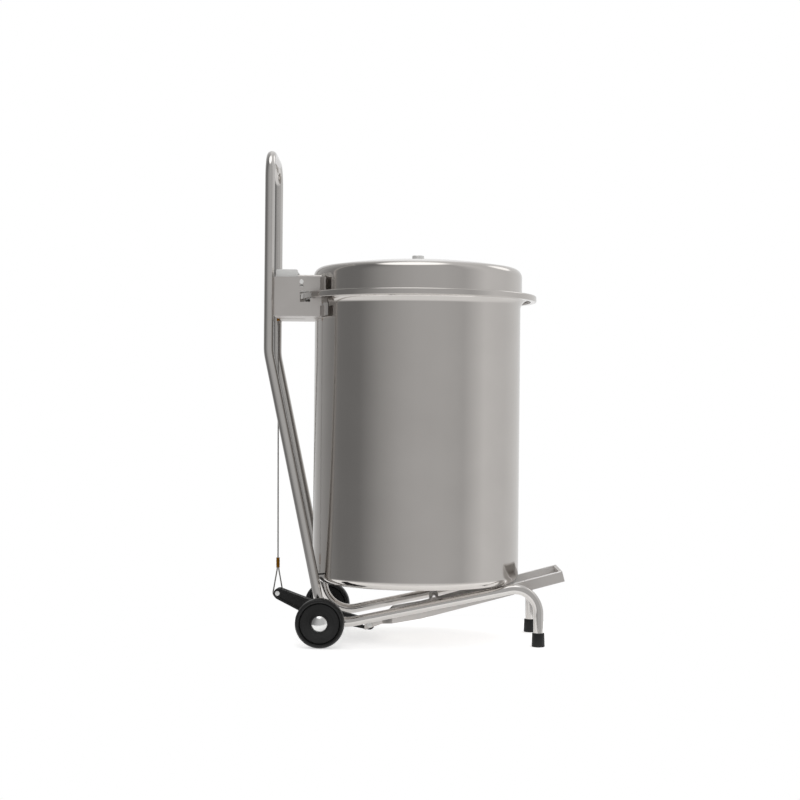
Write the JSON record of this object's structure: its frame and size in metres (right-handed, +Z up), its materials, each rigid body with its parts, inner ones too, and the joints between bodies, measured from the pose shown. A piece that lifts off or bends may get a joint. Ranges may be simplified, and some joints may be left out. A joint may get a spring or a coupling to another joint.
{
  "type": "waste_trolley",
  "caption": "Stainless-steel waste trolley: round bucket with a domed pedal-worked lid on a bent-tube frame with rear wheels and a push handle",
  "frame": {"origin": "on the floor under the bucket's axis, at the middle of the bounding box", "axes": "+Z up, +X towards the pedal, the push handle at -X, +Y to the left"},
  "size_m": [0.6257, 0.501, 1.0179],
  "materials": {
    "stainless_steel": "polished stainless steel",
    "bright_steel": "bright zinc-plated or polished steel",
    "black_plastic": "moulded black plastic",
    "black_rubber": "matt black rubber",
    "copper_crimp": "pressed copper, dulled"
  },
  "bodies": {
    "frame": {"frame_tube_left": "stainless_steel", "frame_tube_right": "stainless_steel", "handle_bow": "stainless_steel", "foot_cap_left": "black_rubber", "foot_cap_right": "black_rubber", "bucket_buffer_left": "black_rubber", "bucket_buffer_right": "black_rubber", "axle": "stainless_steel", "hub_cap_left": "bright_steel", "hub_cap_right": "bright_steel", "wheel_washer_left": "stainless_steel", "wheel_washer_right": "stainless_steel", "bucket": "stainless_steel", "carrying_ring": "stainless_steel", "hinge_housing": "stainless_steel", "hinge_pin": "bright_steel", "lever_collar_left": "stainless_steel", "lever_collar_right": "stainless_steel", "pedal_rod": "stainless_steel"},
    "wheel_left": {"wheel_rim_left": "black_plastic", "tyre_left": "black_rubber"},
    "wheel_right": {"wheel_rim_right": "black_plastic", "tyre_right": "black_rubber"},
    "lid": {"lid": "stainless_steel", "lid_button": "bright_steel", "lid_lever": "bright_steel", "cable_anchor_pin": "bright_steel"},
    "foot_lever": {"foot_lever": "black_plastic", "lever_pin": "bright_steel", "cable_bush": "black_plastic"},
    "cable": {"cable": "stainless_steel", "cable_loop_lower": "stainless_steel", "cable_loop_upper": "stainless_steel", "ferrule_lower": "copper_crimp", "ferrule_upper": "copper_crimp"},
    "pedal": {"pedal": "stainless_steel", "link_pin": "bright_steel"}
  },
  "joints": [
    {"name": "wheel_left_spin", "type": "hinge", "parent": "frame", "child": "wheel_left", "pos_m": [-0.19323, 0.155, 0.05], "axis": [0, 1, 0], "continuous": true},
    {"name": "wheel_right_spin", "type": "hinge", "parent": "frame", "child": "wheel_right", "pos_m": [-0.19323, -0.155, 0.05], "axis": [0, 1, 0], "continuous": true},
    {"name": "lid_hinge", "type": "hinge", "parent": "frame", "child": "lid", "pos_m": [-0.2392, 0, 0.743], "axis": [0, -1, 0], "range_deg": [0, 60]},
    {"name": "pedal_pivot", "type": "hinge", "parent": "frame", "child": "pedal", "pos_m": [0.0406, 0, 0.08369], "axis": [0, 1, 0], "range_deg": [0, 22.25]},
    {"name": "lever_pivot", "type": "hinge", "parent": "frame", "child": "foot_lever", "pos_m": [-0.19323, 0, 0.05], "axis": [0, -1, 0], "range_deg": [0, 33]},
    {"name": "cable_pivot", "type": "hinge", "parent": "foot_lever", "child": "cable", "pos_m": [-0.29013, 0, 0.0927], "axis": [0, 1, 0], "range_deg": [0, 34.7]}
  ],
  "couplings": [
    {"joint": "pedal_pivot", "follows": "lid_hinge", "ratio": 0.3708},
    {"joint": "lever_pivot", "follows": "lid_hinge", "ratio": 0.55},
    {"joint": "cable_pivot", "follows": "lid_hinge", "ratio": 0.5775}
  ]
}
